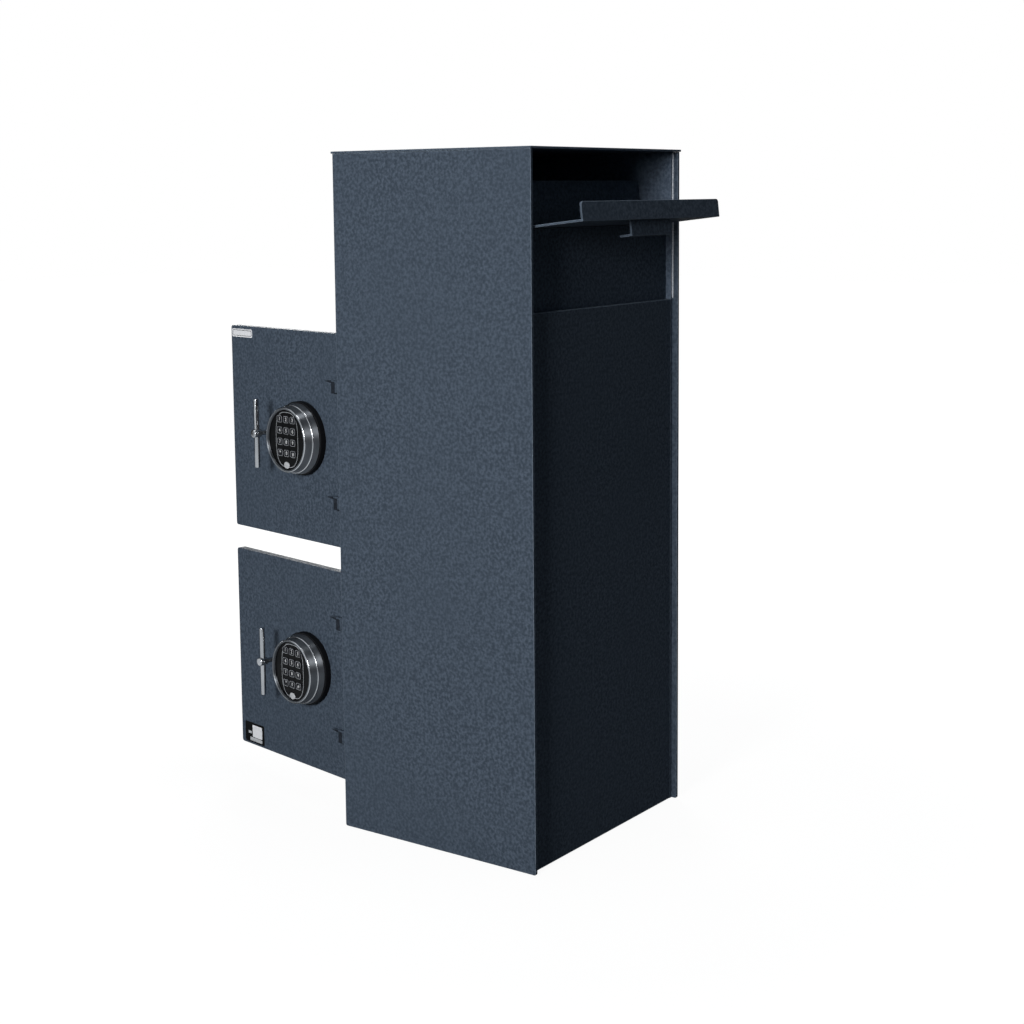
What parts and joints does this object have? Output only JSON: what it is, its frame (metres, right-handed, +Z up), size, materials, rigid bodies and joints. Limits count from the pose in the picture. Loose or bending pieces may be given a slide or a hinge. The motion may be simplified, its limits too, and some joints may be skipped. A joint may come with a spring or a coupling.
{
  "type": "drop safe with deposit drawer",
  "caption": "Tall steel drop safe with stacked keypad-locked doors at the front and a tilting deposit drawer at the top of the rear.",
  "frame": {"origin": "centre of the body's footprint on the floor", "axes": "+Z up, -Y towards the doors, +Y towards the deposit drawer, +X towards the hinges"},
  "size_m": [0.398, 0.7511, 1.016],
  "materials": {
    "powder_coat": "fine-textured blue-grey powder coat",
    "inner_powder_coat": "dark textured powder coat of the inside",
    "bare_steel": "turned and cut steel, lightly oiled",
    "chrome_plate": "satin chrome plate over turned metal",
    "black_plastic": "moulded black plastic",
    "key_plastic": "moulded dark keys with pale figures",
    "zinc_casting": "die-cast lock case and bolt"
  },
  "bodies": {
    "safe_body": {"side_panel_right": "powder_coat", "side_panel_left": "powder_coat", "inner_wall_right": "inner_powder_coat", "inner_wall_left": "inner_powder_coat", "top_plate": "powder_coat", "bottom_plate": "inner_powder_coat", "front_frame": "powder_coat", "divider_shelf": "inner_powder_coat", "rear_wall": "inner_powder_coat", "rear_armour_plate": "powder_coat", "anti_fishing_plate": "inner_powder_coat", "drawer_pivot_rod": "bare_steel", "lower_door_pin_bottom": "bare_steel", "lower_door_pin_top": "bare_steel", "upper_door_pin_bottom": "bare_steel", "upper_door_pin_top": "bare_steel"},
    "deposit_drawer": {"drawer_tray": "powder_coat", "drawer_finger_pull": "powder_coat"},
    "upper_door": {"upper_door_plate": "powder_coat", "upper_keypad_base": "black_plastic", "upper_keypad_ring": "chrome_plate", "upper_keypad_face": "black_plastic", "upper_bolt_guide": "bare_steel", "upper_lock_case": "zinc_casting"},
    "upper_handle": {"upper_handle": "chrome_plate"},
    "upper_boltwork_bar": {"upper_boltwork_bar": "bare_steel"},
    "upper_lock_bolt": {"upper_lock_bolt": "zinc_casting"},
    "upper_key_1": {"upper_key_1": "key_plastic"},
    "upper_key_2": {"upper_key_2": "key_plastic"},
    "upper_key_3": {"upper_key_3": "key_plastic"},
    "upper_key_4": {"upper_key_4": "key_plastic"},
    "upper_key_5": {"upper_key_5": "key_plastic"},
    "upper_key_6": {"upper_key_6": "key_plastic"},
    "upper_key_7": {"upper_key_7": "key_plastic"},
    "upper_key_8": {"upper_key_8": "key_plastic"},
    "upper_key_9": {"upper_key_9": "key_plastic"},
    "upper_key_star": {"upper_key_star": "key_plastic"},
    "upper_key_0": {"upper_key_0": "key_plastic"},
    "upper_key_hash": {"upper_key_hash": "key_plastic"},
    "lower_door": {"lower_door_plate": "powder_coat", "lower_keypad_base": "black_plastic", "lower_keypad_ring": "chrome_plate", "lower_keypad_face": "black_plastic", "lower_bolt_guide": "bare_steel", "lower_lock_case": "zinc_casting"},
    "lower_handle": {"lower_handle": "chrome_plate"},
    "lower_boltwork_bar": {"lower_boltwork_bar": "bare_steel"},
    "lower_lock_bolt": {"lower_lock_bolt": "zinc_casting"},
    "lower_key_1": {"lower_key_1": "key_plastic"},
    "lower_key_2": {"lower_key_2": "key_plastic"},
    "lower_key_3": {"lower_key_3": "key_plastic"},
    "lower_key_4": {"lower_key_4": "key_plastic"},
    "lower_key_5": {"lower_key_5": "key_plastic"},
    "lower_key_6": {"lower_key_6": "key_plastic"},
    "lower_key_7": {"lower_key_7": "key_plastic"},
    "lower_key_8": {"lower_key_8": "key_plastic"},
    "lower_key_9": {"lower_key_9": "key_plastic"},
    "lower_key_star": {"lower_key_star": "key_plastic"},
    "lower_key_0": {"lower_key_0": "key_plastic"},
    "lower_key_hash": {"lower_key_hash": "key_plastic"}
  },
  "joints": [
    {"name": "deposit_drawer_tilt", "type": "hinge", "parent": "safe_body", "child": "deposit_drawer", "pos_m": [0, 0.144, 0.8985], "axis": [1, 0, 0], "range_deg": [0, 83.9]},
    {"name": "upper_door_swing", "type": "hinge", "parent": "safe_body", "child": "upper_door", "pos_m": [0.16, -0.1888, 0.57975], "axis": [0, 0, 1], "range_deg": [-78.9, 91.1]},
    {"name": "upper_handle_turn", "type": "hinge", "parent": "upper_door", "child": "upper_handle", "pos_m": [0.10951, -0.37965, 0.58175], "axis": [0.9813, -0.1925, 0], "range_deg": [0, 90]},
    {"name": "upper_bolt_throw", "type": "slide", "parent": "upper_door", "child": "upper_boltwork_bar", "axis": [-0.1925, -0.9813, 0], "range_m": [0, 0.016]},
    {"name": "upper_lock_bolt_throw", "type": "slide", "parent": "upper_door", "child": "upper_lock_bolt", "axis": [-0.1925, -0.9813, 0], "range_m": [0, 0.012]},
    {"name": "upper_key_1_press", "type": "slide", "parent": "upper_door", "child": "upper_key_1", "axis": [-0.9813, 0.1925, 0], "range_m": [0, 0.001], "stiffness_N_per_m": 400, "springref_m": -0.0005},
    {"name": "upper_key_2_press", "type": "slide", "parent": "upper_door", "child": "upper_key_2", "axis": [-0.9813, 0.1925, 0], "range_m": [0, 0.001], "stiffness_N_per_m": 400, "springref_m": -0.0005},
    {"name": "upper_key_3_press", "type": "slide", "parent": "upper_door", "child": "upper_key_3", "axis": [-0.9813, 0.1925, 0], "range_m": [0, 0.001], "stiffness_N_per_m": 400, "springref_m": -0.0005},
    {"name": "upper_key_4_press", "type": "slide", "parent": "upper_door", "child": "upper_key_4", "axis": [-0.9813, 0.1925, 0], "range_m": [0, 0.001], "stiffness_N_per_m": 400, "springref_m": -0.0005},
    {"name": "upper_key_5_press", "type": "slide", "parent": "upper_door", "child": "upper_key_5", "axis": [-0.9813, 0.1925, 0], "range_m": [0, 0.001], "stiffness_N_per_m": 400, "springref_m": -0.0005},
    {"name": "upper_key_6_press", "type": "slide", "parent": "upper_door", "child": "upper_key_6", "axis": [-0.9813, 0.1925, 0], "range_m": [0, 0.001], "stiffness_N_per_m": 400, "springref_m": -0.0005},
    {"name": "upper_key_7_press", "type": "slide", "parent": "upper_door", "child": "upper_key_7", "axis": [-0.9813, 0.1925, 0], "range_m": [0, 0.001], "stiffness_N_per_m": 400, "springref_m": -0.0005},
    {"name": "upper_key_8_press", "type": "slide", "parent": "upper_door", "child": "upper_key_8", "axis": [-0.9813, 0.1925, 0], "range_m": [0, 0.001], "stiffness_N_per_m": 400, "springref_m": -0.0005},
    {"name": "upper_key_9_press", "type": "slide", "parent": "upper_door", "child": "upper_key_9", "axis": [-0.9813, 0.1925, 0], "range_m": [0, 0.001], "stiffness_N_per_m": 400, "springref_m": -0.0005},
    {"name": "upper_key_star_press", "type": "slide", "parent": "upper_door", "child": "upper_key_star", "axis": [-0.9813, 0.1925, 0], "range_m": [0, 0.001], "stiffness_N_per_m": 400, "springref_m": -0.0005},
    {"name": "upper_key_0_press", "type": "slide", "parent": "upper_door", "child": "upper_key_0", "axis": [-0.9813, 0.1925, 0], "range_m": [0, 0.001], "stiffness_N_per_m": 400, "springref_m": -0.0005},
    {"name": "upper_key_hash_press", "type": "slide", "parent": "upper_door", "child": "upper_key_hash", "axis": [-0.9813, 0.1925, 0], "range_m": [0, 0.001], "stiffness_N_per_m": 400, "springref_m": -0.0005},
    {"name": "lower_door_swing", "type": "hinge", "parent": "safe_body", "child": "lower_door", "pos_m": [0.16, -0.1888, 0.21125], "axis": [0, 0, 1], "range_deg": [-78.9, 91.1]},
    {"name": "lower_handle_turn", "type": "hinge", "parent": "lower_door", "child": "lower_handle", "pos_m": [0.10951, -0.37965, 0.21325], "axis": [0.9813, -0.1925, 0], "range_deg": [0, 90]},
    {"name": "lower_bolt_throw", "type": "slide", "parent": "lower_door", "child": "lower_boltwork_bar", "axis": [-0.1925, -0.9813, 0], "range_m": [0, 0.016]},
    {"name": "lower_lock_bolt_throw", "type": "slide", "parent": "lower_door", "child": "lower_lock_bolt", "axis": [-0.1925, -0.9813, 0], "range_m": [0, 0.012]},
    {"name": "lower_key_1_press", "type": "slide", "parent": "lower_door", "child": "lower_key_1", "axis": [-0.9813, 0.1925, 0], "range_m": [0, 0.001], "stiffness_N_per_m": 400, "springref_m": -0.0005},
    {"name": "lower_key_2_press", "type": "slide", "parent": "lower_door", "child": "lower_key_2", "axis": [-0.9813, 0.1925, 0], "range_m": [0, 0.001], "stiffness_N_per_m": 400, "springref_m": -0.0005},
    {"name": "lower_key_3_press", "type": "slide", "parent": "lower_door", "child": "lower_key_3", "axis": [-0.9813, 0.1925, 0], "range_m": [0, 0.001], "stiffness_N_per_m": 400, "springref_m": -0.0005},
    {"name": "lower_key_4_press", "type": "slide", "parent": "lower_door", "child": "lower_key_4", "axis": [-0.9813, 0.1925, 0], "range_m": [0, 0.001], "stiffness_N_per_m": 400, "springref_m": -0.0005},
    {"name": "lower_key_5_press", "type": "slide", "parent": "lower_door", "child": "lower_key_5", "axis": [-0.9813, 0.1925, 0], "range_m": [0, 0.001], "stiffness_N_per_m": 400, "springref_m": -0.0005},
    {"name": "lower_key_6_press", "type": "slide", "parent": "lower_door", "child": "lower_key_6", "axis": [-0.9813, 0.1925, 0], "range_m": [0, 0.001], "stiffness_N_per_m": 400, "springref_m": -0.0005},
    {"name": "lower_key_7_press", "type": "slide", "parent": "lower_door", "child": "lower_key_7", "axis": [-0.9813, 0.1925, 0], "range_m": [0, 0.001], "stiffness_N_per_m": 400, "springref_m": -0.0005},
    {"name": "lower_key_8_press", "type": "slide", "parent": "lower_door", "child": "lower_key_8", "axis": [-0.9813, 0.1925, 0], "range_m": [0, 0.001], "stiffness_N_per_m": 400, "springref_m": -0.0005},
    {"name": "lower_key_9_press", "type": "slide", "parent": "lower_door", "child": "lower_key_9", "axis": [-0.9813, 0.1925, 0], "range_m": [0, 0.001], "stiffness_N_per_m": 400, "springref_m": -0.0005},
    {"name": "lower_key_star_press", "type": "slide", "parent": "lower_door", "child": "lower_key_star", "axis": [-0.9813, 0.1925, 0], "range_m": [0, 0.001], "stiffness_N_per_m": 400, "springref_m": -0.0005},
    {"name": "lower_key_0_press", "type": "slide", "parent": "lower_door", "child": "lower_key_0", "axis": [-0.9813, 0.1925, 0], "range_m": [0, 0.001], "stiffness_N_per_m": 400, "springref_m": -0.0005},
    {"name": "lower_key_hash_press", "type": "slide", "parent": "lower_door", "child": "lower_key_hash", "axis": [-0.9813, 0.1925, 0], "range_m": [0, 0.001], "stiffness_N_per_m": 400, "springref_m": -0.0005}
  ],
  "couplings": [
    {"joint": "upper_bolt_throw", "follows": "upper_handle_turn", "m_per_rad": 0.010185},
    {"joint": "upper_lock_bolt_throw", "follows": "upper_handle_turn", "m_per_rad": 0.0076387},
    {"joint": "lower_bolt_throw", "follows": "lower_handle_turn", "m_per_rad": 0.010185},
    {"joint": "lower_lock_bolt_throw", "follows": "lower_handle_turn", "m_per_rad": 0.0076387}
  ]
}
